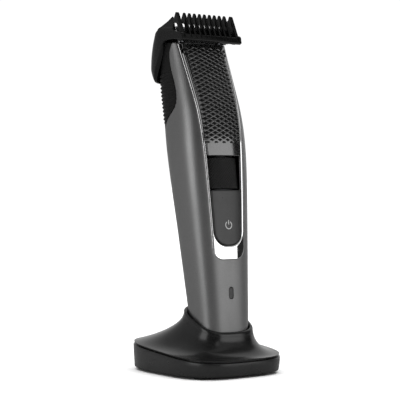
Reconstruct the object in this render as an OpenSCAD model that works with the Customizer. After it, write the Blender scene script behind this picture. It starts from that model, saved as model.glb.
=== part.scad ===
// Cordless beard trimmer standing in its charging stand.
// Row frame: origin at the centre of the footprint, on the table. +Z is up and -Y is the front.
// Handset frame: x across, y towards the back, z along the handset from its bottom end.
// Comb frame: y towards the back and z along the comb's fins, from the middle of its front bar.

/* [Stand] */
// Half width of the stand's footprint
stand_half_w = 32.6; // [31:0.2:34]
// Half depth of the stand's footprint
stand_half_d = 37.8; // [37:0.2:39]
// Height of the skirt's top edge at the front
skirt_front_h = 8.4; // [8:0.1:9]
// Height of the skirt's top edge at the back
skirt_back_h = 14.9; // [14.5:0.1:16]
// How far the rubber feet stand out below the base
foot_h = 1.2; // [0.8:0.1:1.4]
// Wall thickness of the stand's two mouldings
stand_wall = 2; // [1.6:0.1:2.2]
// Slope of the cup's rim, measured against the handset
rim_slope_deg = 33; // [30:1:36]
// Radius of the low-voltage plug socket
socket_r = 2.8; // [2.4:0.1:3]

/* [Handset] */
// How far the handset leans back in its stand
lean_deg = 8; // [8:8]
// Height above the table at which the handset's top is cut off level
top_z = 177.6; // [177:0.1:178]
// Wall thickness of the housing
wall = 1.8; // [1.6:0.1:1.8]
// Corner exponent of the handset's rounded section
body_n = 3; // [2.8:0.1:3.2]
// Gap between neighbouring mouldings
gap = 0.12; // [0.1:0.02:0.16]

/* [Zoom wheel] */
// Radius of the thumb wheel
wheel_r = 14.5; // [14.3:0.1:14.5]
// Radius of the chassis neck that the wheel turns on
neck_r = 11.33; // [11.2:0.01:11.4]
// Radial running clearance of the wheel on its neck
run = 0.07; // [0.04:0.01:0.1]
// Travel of the comb, from its shortest to its longest setting
comb_travel = 10; // [8:1:10]
// Turn of the wheel that gives the full travel
wheel_turn_deg = 200; // [180:10:200]

/* [Comb and blades] */
// Half width of the comb
comb_half_w = 20.4; // [20.4:0.1:20.8]
// Number of thin fins between the two end fins
fins = 9; // [7:2:9]
// Distance between neighbouring thin fins
fin_pitch = 3.38; // [3.3:0.02:3.4]
// Half width of the fixed blade
blade_half_w = 16; // [15:0.5:16]
// Distance between neighbouring blade teeth
tooth_pitch = 1.28; // [1.28:0.32:1.6]

/* [Hidden] */
$fn = 48;
ring_n = 40;
eps = 0.01;
far = 100;

// Where the bottom of the handset's axis stands, and where the comb's front bar is on the handset.
handset_y = -15.4;
handset_z = 11.7;
comb_y = -13.6;
comb_z = 167.4;
comb_lean_deg = 17;

// Handset sections: height, half width, front and back.
body_rows = [
    [0, 14.6, -9, 12],
    [26, 16, -11.2, 13.3],
    [68, 18.7, -14.3, 14.3],
    [92, 20.2, -15.8, 15.3],
    [112, 20.8, -16.5, 16.3],
    [128, 20.2, -15.7, 16.9],
    [145, 19.4, -12.3, 18],
    [160, 18.6, -8.6, 16.6],
    [170, 18.3, -6, 13.5],
    [184, 18.3, -3, 5]
];

// ---------------------------------------------------------------- shapes shared by the sub-parts

function mix(a, b, t) = a + (b - a) * t;

// Slope of one column of the section table at one of its rows.
function row_slope(c, i) =
    let (lo = max(i - 1, 0), hi = min(i + 1, len(body_rows) - 1))
    (body_rows[hi][c] - body_rows[lo][c]) / (body_rows[hi][0] - body_rows[lo][0]);

// Smooth value of one column of the section table at height h.
function body_at(h, c) =
    let (
        last = len(body_rows) - 2,
        i = max([for (k = [0:last]) if (k == 0 || body_rows[k][0] <= h) k]),
        span = body_rows[i + 1][0] - body_rows[i][0],
        t = (h - body_rows[i][0]) / span
    )
    (2 * t ^ 3 - 3 * t ^ 2 + 1) * body_rows[i][c] + (t ^ 3 - 2 * t ^ 2 + t) * span * row_slope(c, i)
    + (3 * t ^ 2 - 2 * t ^ 3) * body_rows[i + 1][c] + (t ^ 3 - t ^ 2) * span * row_slope(c, i + 1);

// Point of a rounded rectangle with half sizes a and b, in the direction t.
function oval_point(a, b, n, t) =
    pow(pow(abs(cos(t)) / a, n) + pow(abs(sin(t)) / b, n), -1 / n) * [cos(t), sin(t)];

function directions() = [for (i = [0:ring_n - 1]) 360 * i / ring_n];

// Point of the handset's section at height h, grown outwards by grow, in the direction t.
function body_point(h, grow, t, n = body_n) =
    let (
        front = body_at(h, 2) - grow,
        back = body_at(h, 3) + grow,
        p = oval_point(body_at(h, 1) + grow, (back - front) / 2, n, t)
    )
    [p.x, p.y + (front + back) / 2, h];

function body_ring(h, grow) = [for (t = directions()) body_point(h, grow, t)];

// A point of the handset frame, in the row frame.
function in_row(p) = [
    p.x,
    handset_y + p.y * cos(lean_deg) + p.z * sin(lean_deg),
    handset_z - p.y * sin(lean_deg) + p.z * cos(lean_deg)
];

function skin_faces(n, lower, upper) = [
    for (i = [0:n - 1]) let (k = (i + 1) % n) each [
        [lower * n + i, upper * n + i, upper * n + k],
        [lower * n + i, upper * n + k, lower * n + k]
    ]
];

// A solid through rings of points, closed by a flat face at each end.
module loft(rings) {
    n = len(rings[0]);
    last = len(rings) - 1;
    polyhedron(
        points = [for (r = rings) each r],
        faces = concat(
            [for (j = [0:last - 1]) each skin_faces(n, j, j + 1)],
            [[for (i = [0:n - 1]) i], [for (i = [n - 1:-1:0]) last * n + i]]
        )
    );
}

// A hollow wall through rings of points: up its outside, down its inside and round again.
module wall_loop(rings) {
    n = len(rings[0]);
    count = len(rings);
    polyhedron(
        points = [for (r = rings) each r],
        faces = [for (j = [0:count - 1]) each skin_faces(n, j, (j + 1) % count)]
    );
}

// A stretch of the handset's wall between two grown or shrunk sections.
module body_wall(low, high, outer, inner, steps) {
    heights = [for (k = [0:steps]) mix(low, high, k / steps)];
    wall_loop(concat(
        [for (h = heights) body_ring(h, outer)],
        [for (k = [steps:-1:0]) body_ring(heights[k], inner)]
    ));
}

// Turns booleans of faceted shapes into one mesh.
module as_one_mesh() {
    resize([0, 0, 0]) children();
}

module in_handset() {
    translate([0, handset_y, handset_z]) rotate([-lean_deg, 0, 0]) children();
}

module in_comb() {
    in_handset() translate([0, comb_y, comb_z]) rotate([-comb_lean_deg, 0, 0]) children();
}

// A box from its lowest to its highest corner.
module block(low, high) {
    translate(low) cube(high - low);
}

// Extrudes an outline drawn in y and z across the width, from x = low to x = high.
module across(low, high) {
    translate([low, 0, 0]) rotate([90, 0, 90]) linear_extrude(height = high - low) children();
}

// Extrudes an outline drawn in x and z from y = low back to y = high.
module front_to_back(low, high) {
    translate([0, high, 0]) rotate([90, 0, 0]) linear_extrude(height = high - low) children();
}

// Both sides of the middle plane.
module both_sides() {
    children();
    mirror([1, 0, 0]) children();
}

module screw(head_r, head_h, shank_r, length) {
    cylinder(r = head_r, h = head_h);
    translate([0, 0, head_h - eps]) cylinder(r = shank_r, h = length + eps);
}

// ---------------------------------------------------------------- stand

base_n = 3.4;
floor_h = 2;
groove_h = 0.9;
foot_r = 5;
foot_at = [20.5, 24.5];
screw_at = [25, 12];
screw_r = 1.3;
screw_head_r = 2.6;
screw_head_h = 1.6;
floor_top = foot_h + floor_h;
cup_clearance = 0.5;
cup_wall = 1.6;
cup_floor_z = -1.5;
rim_front_z = 8.6;
rim_front_y = -12.9;
flare_full = 0.42;
inlet_z = floor_top + 4.6;
inlet_half = 4.2;
inlet_depth = 12;
socket_depth = 9;
pin_x = 5;
pin_y = 1;

function skirt_top(y) = mix(skirt_front_h, skirt_back_h, (y + stand_half_d) / (2 * stand_half_d));
function base_outline(inset) =
    [for (t = directions()) oval_point(stand_half_w - inset, stand_half_d - inset, base_n, t)];
function rim_height(y) = rim_front_z + (y - rim_front_y) * tan(rim_slope_deg);

// The rim's outline: where the grown handset section meets the sloping rim plane.
function rim_ring(grow, drop) = [
    for (t = directions())
        let (
            guess = body_point(rim_height(0), grow, t),
            p = body_point(rim_height(guess.y), grow, t)
        )
        in_row([p.x, p.y, rim_height(p.y) - drop])
];

// One ring of the flare, which turns from nearly level at the skirt to upright at the rim
// and is fuller towards the back.
function flare_ring(turn, inset, grow, lift, drop) =
    let (outline = base_outline(inset), rim = rim_ring(grow, drop))
    [for (i = [0:ring_n - 1])
        let (
            p = outline[i],
            q = rim[i],
            start = skirt_top(p.y) + groove_h + lift,
            full = flare_full * ((p.y + stand_half_d) / (2 * stand_half_d)) ^ 2,
            up = mix(1 - cos(turn), sin(turn), full)
        )
        [mix(p.x, q.x, sin(turn)), mix(p.y, q.y, sin(turn)), mix(start, q.z, up)]
    ];

function cup_ring(h, grow) = [for (p = body_ring(h, grow)) in_row(p)];

module base_solid(inset, low, drop) {
    difference() {
        translate([0, 0, low])
            linear_extrude(height = skirt_back_h - low) polygon(base_outline(inset));
        multmatrix([[1, 0, 0, 0], [0, 1, 0, 0],
                    [0, (skirt_back_h - skirt_front_h) / (2 * stand_half_d), 1, skirt_top(0) - drop]])
            translate([-far, -far, 0]) cube([2 * far, 2 * far, far]);
    }
}

module stand_base() {
    color("#2b2b2b") difference() {
        base_solid(0, foot_h, 0);
        base_solid(stand_wall, floor_top, -far);
        both_sides() for (side = [-1, 1]) translate([screw_at.x, side * screw_at.y, foot_h - 1]) {
            cylinder(r = screw_r + 0.2, h = 10);
            cylinder(r = screw_head_r + 0.1, h = screw_head_h + 1.1);
        }
        block([-inlet_half - gap, 0, inlet_z - inlet_half - gap],
              [inlet_half + gap, far, inlet_z + inlet_half + gap]);
    }
}

module stand_shell() {
    turns = [0, 15, 30, 45, 60, 75, 90];
    outer_grow = cup_clearance + cup_wall;
    color("#262626") difference() {
        as_one_mesh() union() {
            wall_loop(concat(
                [base_ring_at(0.3, 0)],
                [for (a = turns) flare_ring(a, 0.3, outer_grow, 0.5, 0)],
                [rim_ring(cup_clearance, 0)],
                [cup_ring(cup_floor_z, cup_clearance)],
                [cup_ring(cup_floor_z, outer_grow)],
                [for (i = [len(turns) - 1:-1:0]) flare_ring(turns[i], stand_wall + 0.4, outer_grow, -0.9, 5)]
            ));
            loft([for (h = [-1.5, 0.5]) cup_ring(cup_floor_z + h, cup_clearance + 0.6)]);
            intersection() {
                loft([for (a = turns) flare_ring(a, 2, outer_grow, 0, 1)]);
                screw_posts(3, floor_top + gap, 30);
            }
        }
        both_sides() for (side = [-1, 1])
            translate([screw_at.x, side * screw_at.y, 0])
                cylinder(r = screw_r + 0.03, h = skirt_top(side * screw_at.y) + 0.3);
        in_handset() block([-8.1, pin_y - 3.1, cup_floor_z - 3], [8.1, pin_y + 3.1, 1]);
    }
}

module screw_posts(r, low, high) {
    both_sides() for (side = [-1, 1])
        translate([screw_at.x, side * screw_at.y, low]) cylinder(r = r, h = high - low, $fn = 24);
}

function base_ring_at(inset, lift) =
    [for (p = base_outline(inset)) [p.x, p.y, skirt_top(p.y) + groove_h + lift]];

module stand_feet() {
    color("#1a1a1a") both_sides() for (side = [-1, 1])
        translate([foot_at.x, side * foot_at.y, 0]) cylinder(r = foot_r, h = foot_h - eps);
}

module stand_weight() {
    plate_h = 2.2;
    color("#8c8c8c") difference() {
        translate([0, -4, floor_top + 1 + gap]) linear_extrude(height = plate_h)
            polygon([for (t = directions()) oval_point(20, 27, 4, t)]);
        block([-9.6, -24, 0], [9.6, 0, far]);
    }
}

module contact_block() {
    color("#3a3a3a") in_handset() difference() {
        block([-8, pin_y - 3, -5.4], [8, pin_y + 3, -0.7]);
        both_sides() translate([pin_x, pin_y, -6]) cylinder(r = 1.05, h = 8);
    }
}

module contact_pins() {
    color("gold") in_handset() both_sides() translate([pin_x, pin_y, -6]) {
        cylinder(r = 1, h = 5.9);
        translate([0, 0, -0.6]) cylinder(r = 1.5, h = 0.6 + eps);
    }
}

module power_inlet() {
    back = stand_half_d - 0.4;
    color("#1f1f1f") difference() {
        block([-inlet_half, back - inlet_depth, inlet_z - inlet_half],
              [inlet_half, back, inlet_z + inlet_half]);
        translate([0, back - socket_depth, inlet_z]) rotate([-90, 0, 0])
            cylinder(r = socket_r, h = socket_depth + 1);
    }
}

module stand_screws() {
    color("silver") both_sides() for (side = [-1, 1])
        translate([screw_at.x, side * screw_at.y, foot_h])
            screw(screw_head_r, screw_head_h, screw_r, skirt_top(side * screw_at.y) - 4.4);
}

// ---------------------------------------------------------------- handset shells

// Outline of the front panel: straight sides that spread upwards, and a rounded lower end.
panel_low = 55.5;
panel_r = 8;
bezel_low = 48.3;
bezel_r = 6;
bezel_w = 1.4;
wheel_low = 85.9;
wheel_high = 102.9;
button_high = 85.1;
upper_low = 103.6;
panel_t = 1.5;
panel_gap = 0.36;

function panel_half_w(h) = 9.5 + 0.05 * (h - 66);

module panel_outline(low, radius, grow, top) {
    centre = low + radius;
    half = panel_half_w(centre) + grow;
    arc = [for (a = [0:15:90]) [half - radius + radius * sin(a), centre - radius * cos(a)]];
    right = concat(arc, [[panel_half_w(top) + grow, top]]);
    polygon(concat(right, [for (i = [len(right) - 1:-1:0]) [-right[i].x, right[i].y]]));
}

module bezel_cut(grow) {
    front_to_back(-far, 0) panel_outline(bezel_low - grow, bezel_r, bezel_w + grow, 190);
}

// Side outline of the soft grip: it reaches forward below the head and runs back down the spine.
module grip_outline(inset) {
    polygon([
        [-1 + inset, 190], [-1 + inset, 168], [2 + inset, 162], [0.7 + inset, 153],
        [-1.8 + inset, 146], [-3.3 + inset, 139], [-3 + inset, 134], [-0.8 + inset, 131 + inset],
        [2.1, 129.2 + inset], [6.5, 126 + inset], [9.3 + inset, 122.3 + inset], [11.4 + inset, 116],
        [12.6 + inset, 106], [13 + inset, 97 + inset], [far, 93 + inset], [far, 190]
    ]);
}

// Everything above the level top of the handset.
module above_top() {
    translate([-far, -far, top_z]) cube([2 * far, 2 * far, far]);
}

// The slot in the back that the comb carriage's lug comes out of.
lug_half_w = 4;
lug_z = [150, 153.6];
lug_y = 17.6;
module lug_slot() {
    in_handset() block([-lug_half_w - 0.4, 8, lug_z[0] - 0.6], [lug_half_w + 0.4, far, 190]);
}

lens_z = 30.5;
lens_half = [1.3, 3];
module lens_shape(grow) {
    r = lens_half.x + grow;
    front_to_back(-far, 0) {
        for (side = [-1, 1]) translate([0, lens_z + side * (lens_half.y - lens_half.x)]) circle(r = r);
        translate([-r, lens_z - lens_half.y + lens_half.x]) square([2 * r, 2 * (lens_half.y - lens_half.x)]);
    }
}

module housing() {
    color("#6a6a6c") difference() {
        as_one_mesh() difference() {
            in_handset() body_wall(0, 174, 0, -wall, 17);
            in_handset() bezel_cut(gap);
            in_handset() across(-far, far) grip_outline(0);
            above_top();
        }
        in_handset() lens_shape(0.06);
    }
}

module rear_grip() {
    color("#1c1c1c") as_one_mesh() difference() {
        intersection() {
            in_handset() body_wall(70, 174, 0, -wall, 11);
            in_handset() across(-far, far) grip_outline(gap);
        }
        lug_slot();
        above_top();
    }
}

module chrome_bezel() {
    color("#e8e8ea") as_one_mesh() difference() {
        intersection() {
            in_handset() body_wall(46, 174, 0, -wall, 13);
            in_handset() bezel_cut(0);
        }
        in_handset() front_to_back(-far, far) panel_outline(panel_low, panel_r, 0, 190);
        in_handset() across(-far, far) grip_outline(0);
        above_top();
    }
}

module upper_panel() {
    color("#161616") as_one_mesh() difference() {
        intersection() {
            in_handset() body_wall(100, 174, 0, -panel_t, 9);
            in_handset() front_to_back(-far, 0) panel_outline(panel_low, panel_r, -panel_gap, 190);
        }
        in_handset() block([-far, -far, 0], [far, far, upper_low]);
        above_top();
    }
}

actuator_z = 67;
module power_button() {
    color("#4a4a4a") union() {
        as_one_mesh() intersection() {
            in_handset() body_wall(50, 96, 0, -panel_t, 6);
            in_handset() front_to_back(-far, 0)
                panel_outline(panel_low + panel_gap, panel_r, -panel_gap, button_high);
        }
        in_handset() block([-1.5, -13.6, actuator_z - 1.5], [1.5, -11.55, actuator_z + 1.5]);
    }
}

module indicator_lens() {
    color("#c8c8c8") as_one_mesh() intersection() {
        in_handset() body_wall(24, 38, -0.15, -wall, 3);
        in_handset() lens_shape(0);
    }
}

module bottom_cap() {
    color("#2a2a2a") difference() {
        in_handset() loft([for (h = [0, 2.6]) body_ring(h, -wall - gap)]);
        in_handset() both_sides() translate([pin_x, pin_y, -1]) cylinder(r = 1.9, h = 5);
    }
}

module charging_contacts() {
    color("gold") in_handset() both_sides() translate([pin_x, pin_y, 0]) cylinder(r = 1.85, h = 3.4);
}

// ---------------------------------------------------------------- inside the handset

axis_y = -1.6;
neck_wall = 1.5;
neck_low = 83.5;
neck_high = 134;
tray_y = [-4.2, -2.8];
battery_r = 7;
battery_y = 4.4;
battery_z = [27.5, 77.5];
pcb_y = [-7.6, -6.1];
pcb_z = [16, 79.5];
pcb_screw_z = [22, 49, 75.5];
motor_r = 9.7;
cap_r = 10.8;
motor_z = [109.5, 133.6];
shaft_r = 1;
cam_z = [143.6, 146.6];
cam_offset = 0.9;
cam_pin_r = 0.9;
lever_z = [147.8, 149.6];
pivot_y = 8;
pivot_r = 1.2;
blade_swing = 1;

// Places children on the line that the motor, the neck and the wheel share.
module on_axis(h) {
    in_handset() translate([0, axis_y, h]) children();
}

module inner_chassis() {
    color("#50545a") difference() {
        union() {
            in_handset() block([-11, tray_y[0], 6], [11, tray_y[1], neck_low + 1]);
            in_handset() both_sides() block([9.6, tray_y[1] - eps, 8], [11, 3, neck_low + 1]);
            in_handset() for (h = pcb_screw_z) translate([0, tray_y[0] + eps, h]) rotate([90, 0, 0])
                cylinder(r = 2.2, h = tray_y[0] - pcb_y[1] - gap);
            intersection() {
                on_axis(neck_low) cylinder(r = 13.4, h = wheel_low - neck_low - 0.2);
                in_handset() block([-12, -9, 0], [12, 12.2, far + 90]);
            }
            on_axis(neck_low) cylinder(r = neck_r, h = neck_high - neck_low);
        }
        on_axis(neck_low + 1.6) cylinder(r = neck_r - neck_wall, h = far);
        in_handset() for (h = pcb_screw_z) translate([0, tray_y[1] + 1, h]) rotate([90, 0, 0])
            cylinder(r = 0.85, h = 6);
        in_handset() block([-3, 2, neck_low - 1], [3, 7, neck_low + 3]);
    }
}

module battery() {
    color("#3f7fae") in_handset() translate([0, battery_y, battery_z[0]]) {
        cylinder(r = battery_r, h = battery_z[1] - battery_z[0] - 1);
        cylinder(r = 3, h = battery_z[1] - battery_z[0]);
    }
}

module battery_tabs() {
    color("silver") in_handset() {
        block([-3, tray_y[1] + gap, battery_z[0] - 0.4], [3, 9, battery_z[0] - gap / 2]);
        block([-3, tray_y[1] + gap, battery_z[1] + gap / 2], [3, 9, battery_z[1] + 0.4]);
    }
}

module main_pcb() {
    color("#1d6b3a") in_handset() difference() {
        union() {
            block([-8, pcb_y[0], pcb_z[0]], [8, pcb_y[1], pcb_z[1]]);
            block([-1.2, pcb_y[0] - 0.8, lens_z - 1.2], [1.2, pcb_y[0] + eps, lens_z + 1.2]);
            block([-4.5, pcb_y[0] - 1.2, 38], [0, pcb_y[0] + eps, 44]);
            block([2, pcb_y[0] - 1.5, 56], [6, pcb_y[0] + eps, 60]);
        }
        for (h = pcb_screw_z) translate([0, pcb_y[1] + 1, h]) rotate([90, 0, 0]) cylinder(r = 1.2, h = 5);
    }
}

module tact_switch() {
    color("#b8b8b8") in_handset() {
        block([-3, pcb_y[0] - 2.4, actuator_z - 3], [3, pcb_y[0] - eps, actuator_z + 3]);
        translate([0, pcb_y[0] - 2.4 + eps, actuator_z]) rotate([90, 0, 0]) cylinder(r = 1.4, h = 1.1);
    }
}

module pcb_screws() {
    color("silver") in_handset() for (h = pcb_screw_z)
        translate([0, pcb_y[0] - 1.2 - eps, h]) rotate([-90, 0, 0]) screw(1.9, 1.2, 0.8, 4);
}

module motor() {
    color("#a8abb0") difference() {
        union() {
            on_axis(motor_z[0]) cylinder(r = motor_r, h = motor_z[1] - motor_z[0] - 1.4);
            on_axis(motor_z[0] - 1.5) cylinder(r = 5, h = 2);
            on_axis(motor_z[1] - 1.5) cylinder(r = 3.5, h = 1.5);
        }
        on_axis(motor_z[1] - 5) cylinder(r = shaft_r + 0.05, h = far);
    }
}

module motor_cap() {
    color("#50545a") difference() {
        union() {
            on_axis(neck_high + gap) cylinder(r = cap_r, h = 2);
            in_handset() translate([0, pivot_y, neck_high + gap]) {
                cylinder(r = pivot_r, h = lever_z[1] + 2.5 - neck_high);
                cylinder(r = 2.2, h = lever_z[0] - 0.6 - neck_high);
            }
        }
        on_axis(neck_high - 1) cylinder(r = shaft_r + 0.6, h = far);
    }
}

module motor_shaft() {
    color("silver") on_axis(motor_z[1] - 4.8) cylinder(r = shaft_r, h = cam_z[1] - motor_z[1] + 4.6);
}

module drive_cam() {
    color("#d8d8d0") difference() {
        union() {
            on_axis(cam_z[0]) cylinder(r = 3.6, h = cam_z[1] - cam_z[0]);
            on_axis(cam_z[1] - eps) translate([0, cam_offset, 0]) cylinder(r = cam_pin_r, h = 3.6);
        }
        on_axis(cam_z[0] - 1) cylinder(r = shaft_r + 0.02, h = cam_z[1] - cam_z[0] + 0.8);
    }
}

// The lever swings on its pivot; its eye is wide enough for the cam pin's whole circle.
module drive_lever() {
    eye = [2.8, 2.2];
    color("#e0ddd0") difference() {
        union() {
            in_handset() {
                block([-4.4, -5.4, lever_z[0]], [4.4, 4, lever_z[1]]);
                block([-2.2, 3.9, lever_z[0]], [2.2, pivot_y, lever_z[1]]);
                translate([0, pivot_y, lever_z[0]]) cylinder(r = 2.7, h = lever_z[1] - lever_z[0]);
                block([-3, -5.4, lever_z[0]], [3, -4, 156]);
                block([-1.6, -5.4, 154.6], [1.6, 1.6, 156]);
                block([-1.6, 0.2, 154.6], [1.6, 1.6, 171]);
            }
            in_comb() block([-1.2, 9.15, 4.4], [1.2, 13.4, 6.4]);
        }
        in_handset() {
            translate([0, pivot_y, lever_z[0] - 1]) cylinder(r = pivot_r + 0.06, h = 4);
            block([-eye.x, axis_y - eye.y, lever_z[0] - 1], [eye.x, axis_y + eye.y, lever_z[1] + 1]);
        }
    }
}

// ---------------------------------------------------------------- zoom wheel and comb carriage

sleeve_r = 12.2;
sleeve_high = 126.6;
slot_half_h = 1.3;
slot_start = sleeve_high - 13.6;
deg_per_mm = wheel_turn_deg / comb_travel;
slot_margin = 1.8;
follower_r = 1;

// The wall of the cam sleeve that is cut away, as a strip that climbs round it.
module cam_slot() {
    half = slot_half_h * deg_per_mm;
    reach = slot_margin * deg_per_mm;
    height = comb_travel + 2 * slot_margin;
    on_axis(slot_start - slot_margin) rotate([0, 0, 90 + reach])
        linear_extrude(height = height, twist = height * deg_per_mm, slices = 44)
            polygon(concat(
                [for (a = [-half:half / 3:half]) (neck_r - 1) * [cos(a), sin(a)]],
                [for (a = [half:-half / 3:-half]) (sleeve_r + 1.5) * [cos(a), sin(a)]]
            ));
}

module zoom_wheel() {
    color("#202020") difference() {
        union() {
            on_axis(wheel_low) cylinder(r = wheel_r, h = wheel_high - wheel_low);
            on_axis(wheel_high - eps) cylinder(r = sleeve_r, h = sleeve_high - wheel_high);
        }
        on_axis(wheel_low - 1) cylinder(r = neck_r + run, h = far);
        cam_slot();
    }
}

carriage_y = [12.2, 13.4];
module comb_carriage() {
    color("#303030") in_handset() {
        difference() {
            block([-7, carriage_y[0], 111], [7, carriage_y[1], lug_z[1]]);
            block([-4.4, carriage_y[0] - 1, 117], [4.4, carriage_y[1] + 1, 146]);
        }
        block([-lug_half_w, carriage_y[0], lug_z[0]], [lug_half_w, lug_y, lug_z[1]]);
        translate([0, carriage_y[0] + eps, slot_start]) rotate([90, 0, 0])
            cylinder(r = follower_r, h = carriage_y[0] - 10);
    }
}

// ---------------------------------------------------------------- comb and blades

comb_wall = 1.75;
comb_gap = 0.35;
comb_front = -14.1;
comb_back = [1.6, 3.2];
comb_n = 4.2;
bar_z = [-1, 2.8];
bar_t = 2.4;

// Side outline of the comb's frame: bar at the front, wing on top, arm down the back.
module comb_side_outline() {
    polygon([
        [-14.3, 165.2], [-14, 170.2], [-6.6, 172.6], [-5.6, 180.8], [-4.6, 181], [10.5, 175.6], [far, 172],
        [far, 148.6], [19.5, 148.8], [15.6, 151], [13.6, 154.2], [10.8, 157.6], [8.4, 161.2],
        [6.2, 164.8], [4.4, 168], [1.5, 169.2], [-10.8, 167.4]
    ]);
}

module fin_outline() {
    polygon([
        [0, bar_z[0] + 0.4], [0, 14.9], [0.3, 15.9], [0.9, 16], [4.9, 12.9], [4.4, 11.4], [2.6, 10.2],
        [2.5, 8.8], [3.5, 7], [6.6, 3.4], [5, bar_z[0] + 0.9], [2, bar_z[0] + 0.4]
    ]);
}

module fin(x, t) {
    in_comb() translate([x, 0, 0]) across(-t / 2, t / 2) fin_outline();
}

// Half of the comb wall's section at height h: straight at the side and round the back, where its
// corners are squarer than the handset's and it stands off by a further distance.
function comb_arc(h, grow, back) = [
    for (a = [0:7.5:180]) body_point(h, grow, a, comb_n) + [0, back * min(1, 2 * sin(a)), 0]
];
// From 0 to 1 down the arm, whose lower end thins out towards the handset.
arm_taper_h = [149, 157];
arm_thinning = 1.45;
back_thinning = 0.8;
function comb_taper(h) =
    pow(max(0, min(1, (arm_taper_h[1] - h) / (arm_taper_h[1] - arm_taper_h[0]))), 1.5);

function comb_ring(h) =
    let (
        thin = comb_taper(h),
        outer = comb_arc(h, comb_gap + comb_wall - arm_thinning * thin, comb_back[1] - back_thinning * thin),
        inner = comb_arc(h, comb_gap, comb_back[0]),
        last = len(inner) - 1
    )
    concat(
        [[outer[0].x, comb_front, h]], outer, [[-outer[0].x, comb_front, h], [-inner[0].x, comb_front, h]],
        [for (i = [last:-1:0]) inner[i]], [[inner[0].x, comb_front, h]]
    );

module comb() {
    end_x = 18.1;
    color("#141414") union() {
        as_one_mesh() intersection() {
            in_handset() loft([for (h = [each [146:1.5:158], each [162:5.5:184]]) comb_ring(h)]);
            in_handset() across(-far, far) comb_side_outline();
        }
        in_comb() block([-comb_half_w, 0, bar_z[0]], [comb_half_w, bar_t, bar_z[1]]);
        for (i = [0:fins - 1]) fin((i - (fins - 1) / 2) * fin_pitch, 1.1);
        for (side = [-1, 1]) fin(side * end_x, 1.7);
        in_handset() block([-3.8, 16, lug_z[1] + 0.1], [3.8, 20.4, lug_z[1] + 3]);
    }
}

blade_y = [8.3, 8.9];
cutter_y = [8.95, 9.4];
block_y = 9.6;
blade_z = [2.4, 12];
blade_screw_x = 12.5;
blade_screw_z = 4.2;
tooth_depth = 2.6;

// Side outline of the cutter block, drawn in the row frame: it sits on the handset's level top.
module block_outline(inset) {
    polygon([
        [4.4 + inset, top_z + gap - (inset > 0 ? 5 : 0)], [6.9 + inset, 183.4 - inset],
        [10, 184.2 - inset], [19.4 - inset, top_z + 2.6 - inset / 2],
        [19.6 - inset, top_z + gap - (inset > 0 ? 5 : 0)]
    ]);
}

module cutter_block() {
    half = 14.8;
    color("#1b1b1b") difference() {
        across(-half, half) block_outline(0);
        across(-half + 1.4, half - 1.4) block_outline(1.4);
        in_comb() block([-4.2, block_y - 2, 3.4], [4.2, block_y + 4, 7.4]);
        in_comb() both_sides() translate([blade_screw_x, 0, blade_screw_z]) rotate([-90, 0, 0])
            cylinder(r = 0.85, h = 20);
    }
}

// Teeth along a blade's top edge: slots cut down from it.
module tooth_slots(half, y, top, pitch, depth) {
    count = floor(2 * half / pitch) - 1;
    for (i = [0:count]) let (x = (i - count / 2) * pitch)
        block([x - 0.28, y[0] - 1, top - depth], [x + 0.28, y[1] + 1, top + 1]);
}

module fixed_blade() {
    color("#c9ccd0") in_comb() difference() {
        block([-blade_half_w, blade_y[0], blade_z[0]], [blade_half_w, blade_y[1], blade_z[1]]);
        tooth_slots(blade_half_w, blade_y, blade_z[1], tooth_pitch, tooth_depth);
        both_sides() translate([blade_screw_x, 0, blade_screw_z])
            rotate([-90, 0, 0]) cylinder(r = 1.1, h = 20);
    }
}

module moving_blade() {
    color("#b4b8bd") in_comb() difference() {
        block([-10.5, cutter_y[0], 5.6], [10.5, cutter_y[1], blade_z[1] - 0.6]);
        tooth_slots(10.5, cutter_y, blade_z[1] - 0.6, tooth_pitch, tooth_depth);
        block([-3.6, cutter_y[0] - 1, 5], [3.6, cutter_y[1] + 1, 7.2]);
    }
}

module blade_bridge() {
    color("#e0ddd0") in_comb() difference() {
        block([-3.5, cutter_y[0], 3.6], [3.5, cutter_y[1] + 0.1, 7.1]);
        block([-1.35, cutter_y[0] - 1, 3], [1.35, cutter_y[1] + 1, 6.7]);
    }
}

// A bent leaf that presses the moving blade against the fixed one.
module blade_spring() {
    color("#d6d8da") in_comb() both_sides()
        block([6, cutter_y[1] + 0.04, 7.8], [9.4, block_y - gap / 4, 9]);
}

module blade_screws() {
    color("silver") in_comb() both_sides() translate([blade_screw_x, blade_y[0] - 0.9, blade_screw_z])
        rotate([-90, 0, 0]) screw(1.8, 0.88, 0.8, 3.4);
}

// ---------------------------------------------------------------- the nodes

stand_base();
stand_shell();
stand_feet();
stand_weight();
contact_block();
contact_pins();
power_inlet();
stand_screws();
housing();
rear_grip();
chrome_bezel();
upper_panel();
power_button();
indicator_lens();
bottom_cap();
charging_contacts();
inner_chassis();
battery();
battery_tabs();
main_pcb();
tact_switch();
pcb_screws();
motor();
motor_cap();
motor_shaft();
drive_cam();
drive_lever();
zoom_wheel();
comb_carriage();
comb();
cutter_block();
fixed_blade();
moving_blade();
blade_bridge();
blade_spring();
blade_screws();
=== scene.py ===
"""Cordless beard trimmer in its charging stand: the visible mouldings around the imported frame.

Lengths in this script are millimetres until a mesh is made, which scales them to metres.
Handset frame: x across, y towards the back, z along the handset. Row frame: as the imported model."""
import functools
import math

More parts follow.
